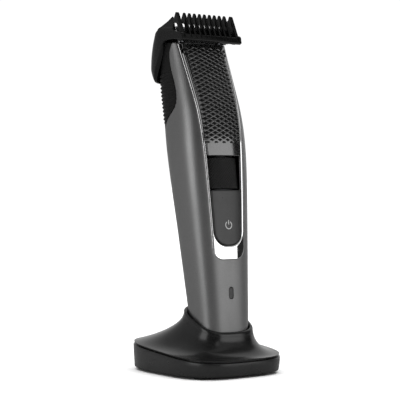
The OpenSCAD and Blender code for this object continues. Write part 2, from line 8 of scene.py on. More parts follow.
import bmesh
import bpy
import numpy as np
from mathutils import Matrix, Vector


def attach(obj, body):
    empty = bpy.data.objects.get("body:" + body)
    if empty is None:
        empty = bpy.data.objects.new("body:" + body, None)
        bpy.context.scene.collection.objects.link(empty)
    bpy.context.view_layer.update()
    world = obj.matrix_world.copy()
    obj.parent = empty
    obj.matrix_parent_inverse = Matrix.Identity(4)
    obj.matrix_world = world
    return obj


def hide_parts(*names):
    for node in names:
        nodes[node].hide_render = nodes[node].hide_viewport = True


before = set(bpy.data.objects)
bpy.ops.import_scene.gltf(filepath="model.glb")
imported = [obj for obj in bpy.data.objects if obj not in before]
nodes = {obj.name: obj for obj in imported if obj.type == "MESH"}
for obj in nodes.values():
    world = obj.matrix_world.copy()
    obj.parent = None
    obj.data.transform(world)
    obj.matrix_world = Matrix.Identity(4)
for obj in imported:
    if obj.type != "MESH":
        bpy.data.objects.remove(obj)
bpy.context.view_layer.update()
MM = 0.001

# ------------ driving dimensions

LEAN = math.radians(8)
HANDSET_Y, HANDSET_Z = -15.4, 11.7
COMB_LEAN = math.radians(17)
COMB_Y, COMB_Z = -13.6, 167.4
TOP_Z = 177.6
# The skins are drawn a little past the level top, which cuts them off.
SKIN_HIGH = 178.5
WALL = 1.8
GAP = 0.12
SECTION_N = 3.0
# Height, half width, front and back of the handset's sections.
BODY = np.array([
    [0, 14.6, -9, 12],
    [26, 16, -11.2, 13.3],
    [68, 18.7, -14.3, 14.3],
    [92, 20.2, -15.8, 15.3],
    [112, 20.8, -16.5, 16.3],
    [128, 20.2, -15.7, 16.9],
    [145, 19.4, -12.3, 18],
    [160, 18.6, -8.6, 16.6],
    [170, 18.3, -6, 13.5],
    [184, 18.3, -3, 5],
])
PANEL_LOW, PANEL_R = 55.5, 8.0
BEZEL_LOW, BEZEL_R, BEZEL_W = 48.3, 6.0, 1.4
BEVEL_W, BEVEL_DROP = 0.7, 0.25
PANEL_GAP = 0.36
BUTTON_HIGH = 85.1
UPPER_LOW = 103.6
WHEEL_LOW, WHEEL_HIGH, WHEEL_R = 85.9, 102.9, 14.5
AXIS_Y = -1.6
LENS_Z, LENS_HALF = 30.5, (1.3, 3.0)
SYMBOL_Z = 66.5
SLOT_HALF_W, SLOT_LOW = 4.4, 149.4
STAND_HALF_W, STAND_HALF_D, BASE_N = 32.6, 37.8, 3.4
SKIRT_FRONT, SKIRT_BACK = 8.4, 14.9
FOOT_H, GROOVE_H, STAND_WALL = 1.2, 0.9, 2.0
CUP_CLEARANCE, CUP_WALL, CUP_FLOOR = 0.5, 1.6, -1.5
RIM_SLOPE = math.radians(33)
RIM_FRONT_Y, RIM_FRONT_Z = -12.9, 8.6
FLARE_FULL = 0.42
FAR = 100.0

FULL_TURN = 2 * math.pi
BACK = math.pi / 2
FRONT = -math.pi / 2

# ------------ the handset's surface


def row_slopes(column):
    """Slope of one column of the section table at each of its rows."""
    last = len(BODY) - 1
    low = [max(i - 1, 0) for i in range(last + 1)]
    high = [min(i + 1, last) for i in range(last + 1)]
    return (BODY[high, column] - BODY[low, column]) / (BODY[high, 0] - BODY[low, 0])


SLOPES = np.stack([row_slopes(c) for c in range(4)], axis=1)


def body_at(h, column):
    """Smooth value of one column of the section table at height h."""
    h = np.asarray(h, float)
    i = np.clip(np.searchsorted(BODY[:, 0], h, side="right") - 1, 0, len(BODY) - 2)
    span = BODY[i + 1, 0] - BODY[i, 0]
    t = (h - BODY[i, 0]) / span
    here = (2 * t**3 - 3 * t**2 + 1) * BODY[i, column] + (t**3 - 2 * t**2 + t) * span * SLOPES[i, column]
    there = (3 * t**2 - 2 * t**3) * BODY[i + 1, column] + (t**3 - t**2) * span * SLOPES[i + 1, column]
    return here + there


def section_round(turn, h, grow, n=SECTION_N):
    """Point of the handset's skin in the direction turn, at height h, grown outwards by grow."""
    front = body_at(h, 2) - grow
    back = body_at(h, 3) + grow
    c, s = np.cos(turn), np.sin(turn)
    a = body_at(h, 1) + grow
    b = (back - front) / 2
    radius = (np.abs(c / a) ** n + np.abs(s / b) ** n) ** (-1 / n)
    return np.stack([radius * c, radius * s + (front + back) / 2, h + 0 * turn], axis=-1)


def section_front(x, h, grow):
    """Point of the handset's front skin at x and height h, grown outwards by grow."""
    front = body_at(h, 2) - grow
    back = body_at(h, 3) + grow
    a = body_at(h, 1) + grow
    share = np.clip(1 - np.abs(x / a) ** SECTION_N, 0, 1) ** (1 / SECTION_N)
    y = (front + back) / 2 - (back - front) / 2 * share
    return np.stack([x + 0 * h, y, h + 0 * x], axis=-1)


def tilted(points, angle, y, z):
    """Points turned back by angle about x and moved to y and z."""
    p = np.asarray(points, float)
    c, s = math.cos(angle), math.sin(angle)
    back = y + p[..., 1] * c + p[..., 2] * s
    up = z - p[..., 1] * s + p[..., 2] * c
    return np.stack([p[..., 0], back, up], axis=-1)


def in_row(points):
    """Points of the handset frame in the row frame."""
    return tilted(points, LEAN, HANDSET_Y, HANDSET_Z)


def in_comb(points):
    """Points of the comb frame in the row frame."""
    return in_row(tilted(points, COMB_LEAN, COMB_Y, COMB_Z))


# ------------ outlines


def outline_distance(outline, px, py):
    """Signed distance from points to a closed outline, negative inside it."""
    best = np.full(np.shape(px), np.inf)
    inside = np.zeros(np.shape(px), bool)
    corners = np.asarray(outline, float)
    for (ax, ay), (bx, by) in zip(corners, np.roll(corners, -1, axis=0)):
        dx, dy = bx - ax, by - ay
        t = np.clip(((px - ax) * dx + (py - ay) * dy) / (dx * dx + dy * dy), 0, 1)
        best = np.minimum(best, (px - ax - t * dx) ** 2 + (py - ay - t * dy) ** 2)
        if ay != by:
            crosses = (ay > py) != (by > py)
            inside ^= crosses & (px < ax + (py - ay) * dx / dy)
    return np.where(inside, -1, 1) * np.sqrt(best)


def rounded(outline, radius, steps=5):
    """The outline with each corner replaced by a short curve that starts radius away from it."""
    corners = np.asarray(outline, float)
    curve = []
    for before, corner, after in zip(np.roll(corners, 1, axis=0), corners, np.roll(corners, -1, axis=0)):
        ends = []
        for other in (before, after):
            away = other - corner
            ends.append(corner + away * min(radius / np.linalg.norm(away), 0.48))
        for t in np.linspace(0, 1, steps):
            curve.append((1 - t) ** 2 * ends[0] + 2 * t * (1 - t) * corner + t * t * ends[1])
    return np.array(curve)


def panel_half_w(h):
    """Half width of the front panel, which spreads upwards."""
    return 9.5 + 0.05 * (h - 66)


def panel_corner(low, radius, grow):
    """The rounded lower right corner of the panel outline in x and z, from the bottom up."""
    centre = low + radius
    half = panel_half_w(centre) + grow
    turns = np.radians(np.arange(0, 91, 5))
    return [(half - radius + radius * math.sin(a), centre - radius * math.cos(a)) for a in turns]


def panel_outline(low, radius, grow):
    """Front panel outline in x and z: a rounded lower end and sides that run on past the top."""
    right = panel_corner(low, radius, grow) + [(panel_half_w(FAR * 2) + grow, FAR * 2)]
    return right + [(-x, z) for x, z in reversed(right)]


def along(points, count):
    """Even points along a line of points."""
    points = np.asarray(points, float)
    lengths = np.concatenate([[0], np.cumsum(np.linalg.norm(np.diff(points, axis=0), axis=1))])
    places = np.linspace(0, lengths[-1], count)
    return np.stack([np.interp(places, lengths, points[:, k]) for k in (0, 1)], axis=1)


def bezel_edge(low, radius, grow):
    """One edge of the chrome trim in x and z, from top left, round the bottom, to top right."""
    side_low = PANEL_LOW + PANEL_R
    side = (panel_half_w(side_low) + grow, side_low)
    lower = along([(0, low)] + panel_corner(low, radius, grow) + [side], 40)
    heights = np.linspace(side_low, SKIN_HIGH, 60)[1:]
    right = np.concatenate([lower, np.stack([panel_half_w(heights) + grow, heights], axis=1)])
    return np.concatenate([right[:0:-1] * (-1, 1), right])


BEZEL_EDGES = [bezel_edge(PANEL_LOW, PANEL_R, 0), bezel_edge(BEZEL_LOW, BEZEL_R, BEZEL_W)]
BEZEL_RUN = np.concatenate([[0], np.cumsum(np.linalg.norm(np.diff(sum(BEZEL_EDGES) / 2, axis=0), axis=1))])


def bezel_sides(run):
    """The trim's inner and outer point, each as x and z, at run along it."""
    return [[np.interp(run, BEZEL_RUN, edge[:, k]) for k in (0, 1)] for edge in BEZEL_EDGES]


def section_bezel(across, run, grow):
    """Point of the chrome trim's skin: across from its inner to its outer edge, and run along it."""
    inner, outer = bezel_sides(run)
    x, z = [i + (o - i) * across for i, o in zip(inner, outer)]
    return section_front(x, z, grow)


def bezel_bevel(across, run):
    """The trim dips towards the panel in a bevel along its inner edge."""
    inner, outer = bezel_sides(run)
    from_inner = across * np.hypot(outer[0] - inner[0], outer[1] - inner[1])
    return -BEVEL_DROP * np.clip(1 - from_inner / BEVEL_W, 0, 1)


# Side outline of the soft grip in y and z: it reaches forward below the head and runs back down the spine.
GRIP_OUTLINE = rounded([
    (-1, 190), (-1, 168), (2, 162), (0.7, 153), (-1.8, 146), (-3.3, 139), (-3, 134), (-0.8, 131),
    (2.1, 129.2), (6.5, 126), (9.3, 122.3), (11.4, 116), (12.6, 106), (13, 97), (FAR, 93), (FAR, 190),
], 3.0)
# Side outline of the comb's frame in y and z: bar at the front, wing on top, arm down the back.
COMB_OUTLINE = rounded([
    (-14.3, 165.2), (-14, 170.2), (-6.6, 172.6), (-5.6, 180.8), (-4.6, 181), (10.5, 175.6), (FAR, 172),
    (FAR, 148.6), (19.5, 148.8), (15.6, 151), (13.6, 154.2), (10.8, 157.6), (8.4, 161.2), (6.2, 164.8),
    (4.4, 168), (1.5, 169.2), (-10.8, 167.4),
], 2.2)


def on_front(distance, points):
    """The distance on the front half of the handset, and far away on the back half."""
    return np.where(points[..., 1] < 0, distance, FAR)


def panel_distance(points, low, radius, grow):
    """Distance to the grown panel outline."""
    outline = panel_outline(low, radius, grow)
    return on_front(outline_distance(outline, points[..., 0], points[..., 2]), points)


def grip_distance(points):
    """Distance to the grip's side outline."""
    return outline_distance(GRIP_OUTLINE, points[..., 1], points[..., 2])


def slot_distance(points, centre, half, grow):
    """Distance to an upright slot with round ends."""
    reach = half[1] - half[0]
    dz = points[..., 2] - centre
    dz = dz - np.clip(dz, -reach, reach)
    return on_front(np.hypot(points[..., 0], dz) - half[0] - grow, points)


def slot_behind(points):
    """Distance to the upright slot in the spine that the comb carriage's lug comes out of."""
    outside = np.maximum(np.abs(points[..., 0]) - SLOT_HALF_W, SLOT_LOW - points[..., 2])
    return np.where(points[..., 1] > 8, outside, FAR)


def above_top(points):
    """Height above the level plane that cuts the handset's top."""
    return in_row(points)[..., 2] - TOP_Z


# ------------ meshes


def grid_lines(low, high, step, fine=None):
    """Even grid lines, with closer ones between fine = (low, high, step)."""
    if fine is None:
        return np.linspace(low, high, int(round((high - low) / step)) + 1)
    parts = [(low, fine[0], step), (fine[0], fine[1], fine[2]), (fine[1], high, step)]
    lines = [grid_lines(a, b, s)[:-1] for a, b, s in parts]
    return np.concatenate(lines + [[high]])


def snap_to_cut(u, v, f, cut, period):
    """Moves the grid points that lie close to cut = 0 onto it, so that no sliver is left beside them."""
    if period:
        fu = (np.roll(f, -1, 0) - np.roll(f, 1, 0)) / 2
        step_u = np.full_like(u, period / len(u))
    else:
        fu = np.gradient(f, axis=0)
        step_u = np.gradient(u, axis=0)
    fv = np.gradient(f, axis=1)
    step_v = np.gradient(v, axis=1)
    steep = np.maximum(fu**2 + fv**2, 1e-9)
    move_u, move_v = -f * fu / steep, -f * fv / steep
    near = np.maximum(np.abs(move_u), np.abs(move_v)) < 0.33
    u = np.where(near, u + move_u * step_u, u)
    v = np.where(near, v + move_v * step_v, v)
    return u, v, np.where(near, 0.0, cut(u, v))


def clip_grid(us, vs, cut, period=0.0):
    """Grid points and faces where cut(u, v) is negative, cut off cleanly along cut = 0."""
    u, v = np.meshgrid(us, vs, indexing="ij")
    u, v, f = snap_to_cut(u, v, cut(u, v), cut, period)
    rows, columns = f.shape
    index = np.arange(f.size).reshape(f.shape)
    wide = index if not period else np.vstack([index, index[:1]])
    corners = np.stack([wide[:-1, :-1], wide[1:, :-1], wide[1:, 1:], wide[:-1, 1:]], axis=-1).reshape(-1, 4)
    flat_u, flat_v, flat = list(u.ravel()), list(v.ravel()), f.ravel()
    values = flat[corners]
    whole = (values <= 0).all(axis=1) & (values < 0).any(axis=1)
    faces = corners[whole].tolist()
    crossings = {}

    def crossing(a, b):
        key = (min(a, b), max(a, b))
        if key not in crossings:
            share = flat[a] / (flat[a] - flat[b])
            ub = flat_u[b]
            if period and abs(ub - flat_u[a]) > period / 2:
                ub += math.copysign(period, flat_u[a] - ub)
            crossings[key] = len(flat_u)
            flat_u.append(flat_u[a] + share * (ub - flat_u[a]))
            flat_v.append(flat_v[a] + share * (flat_v[b] - flat_v[a]))
        return crossings[key]

    for cell in corners[~whole & (values < 0).any(axis=1)].tolist():
        face = []
        for a, b in zip(cell, cell[1:] + cell[:1]):
            if flat[a] <= 0:
                face.append(a)
            if flat[a] * flat[b] < 0:
                face.append(crossing(a, b))
        if len(face) > 2:
            faces.append(face)
    used = sorted({i for face in faces for i in face})
    place = {old: new for new, old in enumerate(used)}
    faces = [[place[i] for i in face] for face in faces]
    return np.array(flat_u)[used], np.array(flat_v)[used], faces


def open_edges(faces):
    """Directed edges that only one face uses."""
    directed = {(a, b) for face in faces for a, b in zip(face, face[1:] + face[:1])}
    return [(a, b) for a, b in directed if (b, a) not in directed]


def way_out(section, cut, u, v, edge):
    """How far each point on cut = -edge has to go along the surface to reach cut = 0."""
    tiny = 1e-3
    pu = (section(u + tiny, v, 0) - section(u - tiny, v, 0)) / (2 * tiny)
    pv = (section(u, v + tiny, 0) - section(u, v - tiny, 0)) / (2 * tiny)
    fu = (cut(u + tiny, v) - cut(u - tiny, v)) / (2 * tiny)
    fv = (cut(u, v + tiny) - cut(u, v - tiny)) / (2 * tiny)
    uu, uv, vv = (pu * pu).sum(-1), (pu * pv).sum(-1), (pv * pv).sum(-1)
    det = np.maximum(uu * vv - uv * uv, 1e-12)
    a = (vv * fu - uv * fv) / det
    b = (uu * fv - uv * fu) / det
    steep = np.maximum(a * fu + b * fv, 0.25)
    return (pu * a[:, None] + pv * b[:, None]) * (edge / steep)[:, None]


def moulding(section, us, vs, cut, depth, edge, relief=None, period=0.0):
    """A closed wall that follows section(u, v, grow) where cut is negative, with rounded edges.

    depth is the wall's thickness, edge the radius of its outer edges, and relief(u, v) what stands out."""
    u, v, faces = clip_grid(us, vs, lambda a, b: cut(a, b) + edge, period)
    proud = relief(u, v) if relief else 0 * u
    outer = section(u, v, proud)
    inner = section(u, v, -depth)
    inward = inner - section(u, v, 0)
    inward = inward / np.linalg.norm(inward, axis=1)[:, None]
    count = len(u)
    rim_edges = open_edges(faces)
    rim = sorted({i for pair in rim_edges for i in pair})
    out = way_out(section, cut, u[rim], v[rim], edge)
    place = {old: new for new, old in enumerate(rim)}
    levels = []
    for a in np.radians([30, 60, 90]):
        levels.append(outer[rim] + out * math.sin(a) + inward[rim] * edge * (1 - math.cos(a)))
    levels.append(inner[rim] + out)
    points = np.concatenate([outer, inner] + levels)
    solid = faces + [[i + count for i in reversed(face)] for face in faces]
    for a, b in rim_edges:
        ladder_a = [a] + [2 * count + k * len(rim) + place[a] for k in range(len(levels))] + [a + count]
        ladder_b = [b] + [2 * count + k * len(rim) + place[b] for k in range(len(levels))] + [b + count]
        for k in range(len(ladder_a) - 1):
            solid.append([ladder_b[k], ladder_a[k], ladder_a[k + 1], ladder_b[k + 1]])
    return points, solid


def loft(rings, loop=False):
    """A solid through rings of points, closed by a flat face at each end or joined end to end."""
    n, count = len(rings[0]), len(rings)
    faces = []
    for j in range(count if loop else count - 1):
        low, high = j * n, (j + 1) % count * n
        for i in range(n):
            k = (i + 1) % n
            faces.append([low + i, low + k, high + k, high + i])
    if not loop:
        faces.append(list(range(n - 1, -1, -1)))
        faces.append(list(range((count - 1) * n, count * n)))
    return np.concatenate([np.asarray(r, float) for r in rings]), faces


def lathe(profile, steps=64):
    """Rings of points round z through a profile of radius and height."""
    turns = np.linspace(0, 2 * math.pi, steps, endpoint=False)
    return [np.stack([r * np.cos(turns), r * np.sin(turns), z + 0 * turns], axis=-1) for r, z in profile]


def plate(outline, low, high, bevel, place):
    """An outline in y and z, extruded across from x = low to x = high, with bevelled rims.

    place puts it in the row frame."""
    bm = bmesh.new()
    corners = [bm.verts.new((low, y, z)) for y, z in outline]
    side = bm.faces.new(corners)
    result = bmesh.ops.extrude_face_region(bm, geom=[side])
    moved = [g for g in result["geom"] if isinstance(g, bmesh.types.BMVert)]
    bmesh.ops.translate(bm, verts=moved, vec=(high - low, 0, 0))
    rims = [e for e in bm.edges if abs(e.verts[0].co.x - e.verts[1].co.x) < 1e-6]
    bmesh.ops.bevel(bm, geom=rims, offset=bevel, segments=3, profile=0.5, affect="EDGES", clamp_overlap=True)
    bmesh.ops.recalc_face_normals(bm, faces=bm.faces)
    bm.verts.ensure_lookup_table()
    points = place(np.array([v.co[:] for v in bm.verts]))
    faces = [[v.index for v in face.verts] for face in bm.faces]
    bm.free()
    return points, faces


def merged(parts):
    """Several (points, faces) in one."""
    points, faces, start = [], [], 0
    for p, f in parts:
        points.append(p)
        faces += [[i + start for i in face] for face in f]
        start += len(p)
    return np.concatenate(points), faces


def new_object(name, data):
    """Puts a new object in the scene."""
    obj = bpy.data.objects.new(name, data)
    bpy.context.scene.collection.objects.link(obj)
    return obj


def piece(name, shape, body, slot, stands_for=(), sharp=40, look=None):
    """Makes a named object of (points, faces) that rides on a body and takes its finish from a slot.

    look names another finish for a piece whose own isn't a slot of the record."""
    points, faces = shape
    mesh = bpy.data.meshes.new(name)
    mesh.from_pydata((np.asarray(points) * MM).tolist(), [], faces)
    mesh.update()
    mesh.shade_smooth()
    mesh.set_sharp_from_angle(angle=math.radians(sharp))
    obj = new_object(name, mesh)
    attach(obj, body)
    obj.data.materials.append(finish(look or slot))
    if stands_for:
        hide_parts(*stands_for)
    return obj


def handset_piece(name, shape, *details, **options):
    """A piece whose points are in the handset's frame."""
    points, faces = shape
    return piece(name, (in_row(points), faces), *details, **options)


def add_finish(obj, slot, chosen):
    """Gives the chosen faces a second finish."""
    obj.data.materials.append(finish(slot))
    obj.data.polygons.foreach_set("material_index", np.asarray(chosen, dtype=np.int32))
    obj.data.update()


def cut_away(obj, shape):
    """Cuts a closed shape out of an object's mesh."""
    points, faces = shape
    cutter_mesh = bpy.data.meshes.new("cutter")
    cutter_mesh.from_pydata((points * MM).tolist(), [], faces)
    cutter = new_object("cutter", cutter_mesh)
    modifier = obj.modifiers.new("cut", "BOOLEAN")
    modifier.operation = "DIFFERENCE"
    modifier.solver = "EXACT"
    modifier.object = cutter
    bpy.context.view_layer.update()
    result = bpy.data.meshes.new_from_object(obj.evaluated_get(bpy.context.evaluated_depsgraph_get()))
    obj.modifiers.clear()
    obj.data = result
    obj.data.set_sharp_from_angle(angle=math.radians(40))
    bpy.data.objects.remove(cutter)


def box_shape(low, high, place=lambda p: p):
    """A box as a cutter."""
    (x0, y0, z0), (x1, y1, z1) = low, high
    ring = [(x0, y0), (x1, y0), (x1, y1), (x0, y1)]
    rings = [place(np.array([(x, y, z) for x, y in ring])) for z in (z0, z1)]
    return loft(rings)


def rod_shape(x, y, low, high, radius):
    """An upright cylinder as a cutter."""
    return loft([ring + np.array([x, y, 0]) for ring in lathe([(radius, low), (radius, high)], 32)])


# ------------ finishes


def map_range(tree, source, numbers, kind="LINEAR"):
    """source brought from numbers[0]..numbers[1] to numbers[2]..numbers[3]."""
    node = tree.nodes.new("ShaderNodeMapRange")
    node.interpolation_type = kind
    tree.links.new(source, node.inputs["Value"])
    for socket, number in zip(("From Min", "From Max", "To Min", "To Max"), numbers):
        node.inputs[socket].default_value = number
    return node.outputs["Result"]


class Finish:
    """A procedural material: a Principled shader with a chain of nodes for its grain."""

    def __init__(self, name):
        self.material = bpy.data.materials.new(name)
        self.material.use_nodes = True
        self.tree = self.material.node_tree
        self.shader = next(n for n in self.tree.nodes if n.type == "BSDF_PRINCIPLED")
        self.coordinates = self.node("ShaderNodeTexCoord").outputs["Object"]

    def node(self, kind, **settings):
        made = self.tree.nodes.new(kind)
        for key, value in settings.items():
            setattr(made, key, value)
        return made

    def link(self, source, target):
        self.tree.links.new(source, target)

    def scaled(self, stretch):
        """The object's coordinates, stretched along each axis."""
        mapping = self.node("ShaderNodeMapping")
        self.link(self.coordinates, mapping.inputs["Vector"])
        mapping.inputs["Scale"].default_value = stretch
        return mapping.outputs["Vector"]

    def texture(self, kind, vector, size_mm, factor=1, **settings):
        """A texture node whose pattern repeats about every size_mm."""
        made = self.node(kind, **settings)
        self.link(vector, made.inputs["Vector"])
        made.inputs["Scale"].default_value = factor / (size_mm * MM)
        return made

    def noise(self, size_mm, detail=4.0, stretch=(1, 1, 1)):
        """Cloudy noise with blobs about size_mm across, from 0 to 1."""
        made = self.texture("ShaderNodeTexNoise", self.scaled(stretch), size_mm)
        made.inputs["Detail"].default_value = detail
        return made.outputs["Fac"]

    def cells(self, size_mm, output="Distance"):
        """Random cells about size_mm across."""
        return self.texture("ShaderNodeTexVoronoi", self.coordinates, size_mm).outputs[output]

    def stripes(self, size_mm, axis):
        """Even bands across an axis."""
        wave = self.texture("ShaderNodeTexWave", self.coordinates, size_mm, 0.314, bands_direction=axis)
        return wave.outputs["Fac"]

    def between(self, value, low, high, start=0.3, end=0.7):
        """value brought from start..end to low..high."""
        return map_range(self.tree, value, (start, end, low, high))

    def mixed(self, value, dark, light):
        """A colour between dark and light."""
        mix = self.node("ShaderNodeMix", data_type="RGBA")
        self.link(value, mix.inputs["Factor"])
        mix.inputs["A"].default_value = (*dark, 1)
        mix.inputs["B"].default_value = (*light, 1)
        return mix.outputs["Result"]

    def colour(self, source):
        self.link(source, self.shader.inputs["Base Color"])

    def rough(self, source):
        self.link(source, self.shader.inputs["Roughness"])

    def bump(self, source, depth_mm, strength=1.0, under=None):
        """Adds relief of about depth_mm, on top of an earlier bump."""
        bump = self.node("ShaderNodeBump")
        self.link(source, bump.inputs["Height"])
        bump.inputs["Distance"].default_value = depth_mm * MM
        bump.inputs["Strength"].default_value = strength
        if under is not None:
            self.link(under, bump.inputs["Normal"])
        self.link(bump.outputs["Normal"], self.shader.inputs["Normal"])
        return bump.outputs["Normal"]

    def set(self, **values):
        for key, value in values.items():
            self.shader.inputs[key.replace("_", " ")].default_value = value
        return self.material


def grey(value):
    return (value, value, value)


def moulded(name, colour, rough, grain_mm, depth_mm, spread=0.15, specular=0.5):
    """Moulded plastic: a fine spark-eroded grain and slow changes of gloss."""
    f = Finish(name)
    slow = f.noise(9, 2)
    f.colour(f.mixed(slow, [c * (1 - spread) for c in colour], [c * (1 + spread) for c in colour]))
    f.rough(f.between(f.noise(3, 5), rough * 0.88, rough * 1.12))
    f.bump(f.noise(grain_mm, 3), depth_mm, 0.6)
    return f.set(Specular_IOR_Level=specular)


def metal(name, colour, rough, stretch):
    """Bare metal with a fine grain drawn out along one axis."""
    f = Finish(name)
    streaks = f.noise(0.12, 6, stretch)
    f.colour(f.mixed(streaks, [c * 0.85 for c in colour], [min(c * 1.1, 1) for c in colour]))
    f.rough(f.between(streaks, rough * 0.75, rough * 1.3))
    f.bump(streaks, 0.004, 0.5)
    return f.set(Metallic=1.0)


def housing_grey():
    """Metallic lacquer: tiny flakes under a satin coat."""
    f = Finish("housing_grey")
    flakes = f.cells(0.12, "Color")
    slow = f.noise(14, 2)
    speckle = f.between(flakes, 0.0, 1.0, 0.1, 0.9)
    f.colour(f.mixed(speckle, grey(0.20), grey(0.28)))
    f.rough(f.between(slow, 0.38, 0.44))
    f.bump(f.noise(0.5, 3), 0.004, 0.5)
    return f.set(Metallic=0.95)


def grip_rubber():
    """Soft-touch rubber: matt, with a fine pebble and a faint bloom."""
    f = Finish("grip_rubber")
    f.colour(f.mixed(f.noise(6, 4), grey(0.004), grey(0.007)))
    f.rough(f.between(f.noise(1.5, 5), 0.46, 0.56))
    under = f.bump(f.cells(0.28), 0.03, 0.55)
    f.bump(f.noise(0.1, 2), 0.006, 0.4, under)
    return f.set(Specular_IOR_Level=0.12)


def chrome_trim():
    """Bright plating with faint handling marks."""
    f = Finish("chrome_trim")
    f.colour(f.mixed(f.noise(5, 2), grey(0.86), grey(0.93)))
    f.rough(f.between(f.noise(2.5, 6), 0.03, 0.07))
    f.bump(f.noise(8, 2), 0.01, 0.15)
    return f.set(Metallic=1.0)


def panel_gloss():
    """Black piano-gloss plastic with a clear coat and barely visible waves."""
    f = Finish("panel_gloss")
    f.colour(f.mixed(f.noise(7, 3), grey(0.008), grey(0.012)))
    f.rough(f.between(f.noise(2, 6), 0.10, 0.15))
    f.bump(f.noise(4, 2), 0.004, 0.2)
    return f.set(IOR=1.75, Specular_IOR_Level=0.75, Coat_Weight=0.6, Coat_Roughness=0.06)


def button_satin():
    """Satin lacquer on the key panel: a fine, even speckle."""
    f = Finish("button_satin")
    f.colour(f.mixed(f.cells(0.1, "Color"), grey(0.014), grey(0.026)))
    f.rough(f.between(f.noise(2, 5), 0.27, 0.33))
    f.bump(f.noise(0.18, 3), 0.006, 0.5)
    return f.set()


def lens_smoke():
    """Smoked window over the charge light."""
    f = Finish("lens_smoke")
    f.colour(f.mixed(f.noise(1.5, 3), grey(0.03), grey(0.05)))
    f.rough(f.between(f.noise(1, 4), 0.3, 0.38))
    f.bump(f.stripes(0.3, "Z"), 0.01, 0.3)
    return f.set(Specular_IOR_Level=0.3)


def stand_satin():
    """Satin black moulding with slow changes of gloss and a few fine dust specks."""
    f = Finish("stand_satin")
    specks = f.between(f.cells(1.7), 1.0, 0.0, 0.0, 0.035)
    f.colour(f.mixed(specks, grey(0.0065), grey(0.03)))
    f.rough(f.between(f.noise(12, 4), 0.2, 0.25))
    f.bump(f.noise(0.22, 3), 0.005, 0.5)
    return f.set(Specular_IOR_Level=0.5)


def foot_rubber():
    """Matt rubber with a coarse pebble."""
    f = Finish("foot_rubber")
    f.colour(f.mixed(f.noise(2, 5), grey(0.012), grey(0.03)))
    f.rough(f.between(f.noise(1, 4), 0.7, 0.9))
    f.bump(f.cells(0.5), 0.05, 0.6)
    return f.set()


def ballast_iron():
    """Cast iron: dark scale with rusty edges."""
    f = Finish("ballast_iron")
    f.colour(f.mixed(f.between(f.noise(4, 8), 0, 1), (0.09, 0.085, 0.08), (0.17, 0.12, 0.09)))
    f.rough(f.between(f.noise(2, 6), 0.5, 0.8))
    f.bump(f.noise(0.8, 6), 0.12, 0.7)
    return f.set(Metallic=0.6)


def battery_wrap():
    """Shrink sleeve with shallow folds."""
    f = Finish("battery_wrap")
    f.colour(f.mixed(f.noise(8, 2), (0.02, 0.16, 0.33), (0.03, 0.22, 0.42)))
    f.rough(f.between(f.noise(3, 5), 0.25, 0.4))
    f.bump(f.noise(3, 4, (1, 1, 0.2)), 0.12, 0.5)
    return f.set(Coat_Weight=0.3)


def board_green():
    """Circuit board: solder resist over a web of copper tracks."""
    f = Finish("board_green")
    tracks = f.between(f.stripes(1.2, "DIAGONAL"), 0, 1, 0.45, 0.55)
    f.colour(f.mixed(tracks, (0.006, 0.07, 0.025), (0.015, 0.13, 0.045)))
    f.rough(f.between(f.noise(2, 4), 0.3, 0.42))
    f.bump(tracks, 0.04, 0.6)
    return f.set(Coat_Weight=0.4)


FINISH_MAKERS = {maker.__name__: maker for maker in (
    housing_grey, grip_rubber, chrome_trim, panel_gloss, button_satin, lens_smoke, stand_satin, foot_rubber,
    ballast_iron, battery_wrap, board_green,
)}
# Colour, roughness, grain size and depth, and for some the colour's spread and the specular level.
MOULDED = {
    "cell_matt": (grey(0.0035), 0.8, 0.08, 0.01, 0.2, 0.15),
    "wheel_black": (grey(0.006), 0.36, 0.2, 0.008, 0.15, 0.3),
    "comb_black": (grey(0.003), 0.14, 0.3, 0.004, 0.15, 0.24),
    "stand_skirt": (grey(0.009), 0.3, 0.2, 0.008),
    "dark_plastic": (grey(0.016), 0.45, 0.22, 0.02),
    "chassis_grey": ((0.085, 0.09, 0.1), 0.5, 0.3, 0.02),
    "cream_plastic": ((0.72, 0.68, 0.58), 0.4, 0.3, 0.012, 0.06),
    "icon_grey": (grey(0.42), 0.45, 0.15, 0.004, 0.08),
}
# Colour, roughness and the stretch of the grain.
METAL = {
    "contact_gold": ((0.95, 0.66, 0.26), 0.22, (1, 1, 1)),
    "screw_steel": ((0.55, 0.56, 0.57), 0.3, (1, 1, 6)),
    "switch_metal": ((0.62, 0.62, 0.6), 0.35, (1, 6, 1)),
    "motor_steel": ((0.6, 0.61, 0.62), 0.3, (1, 1, 8)),
    "blade_steel": ((0.62, 0.63, 0.65), 0.2, (8, 1, 1)),
}
FINISH_MAKERS |= {name: functools.partial(moulded, name, *values) for name, values in MOULDED.items()}
FINISH_MAKERS |= {name: functools.partial(metal, name, *values) for name, values in METAL.items()}


@functools.cache
def finish(slot):
    """The material of a slot, made once."""
    return FINISH_MAKERS[slot]()

# ------------ handset mouldings


def round_cut(*rules):
    """A cut over the whole skin: the largest of the rules, each a distance in the handset frame."""
    return lambda turn, h: np.maximum.reduce([rule(section_round(turn, h, 0)) for rule in rules])


def front_cut(*rules):
    """A cut over the front skin, in x and height."""
    return lambda x, h: np.maximum.reduce([rule(section_front(x, h, 0)) for rule in rules])


def ribs(turn, h):
    """Cross ribs on the spine of the grip, fading out towards its sides and ends."""
    low, high, pitch, height = 124.5, 153.5, 2.15, 0.55
    wave = np.cos((h - low) / pitch * FULL_TURN)
    ridge = height * (0.5 - 0.5 * wave) ** 2
    ends = np.clip((h - low) / 2, 0, 1) * np.clip((high - h) / 2, 0, 1)
    from_back = np.abs(np.angle(np.exp(1j * (turn - BACK))))
    sides = np.clip((math.radians(118) - from_back) / math.radians(20), 0, 1)
    return ridge * ends * sides


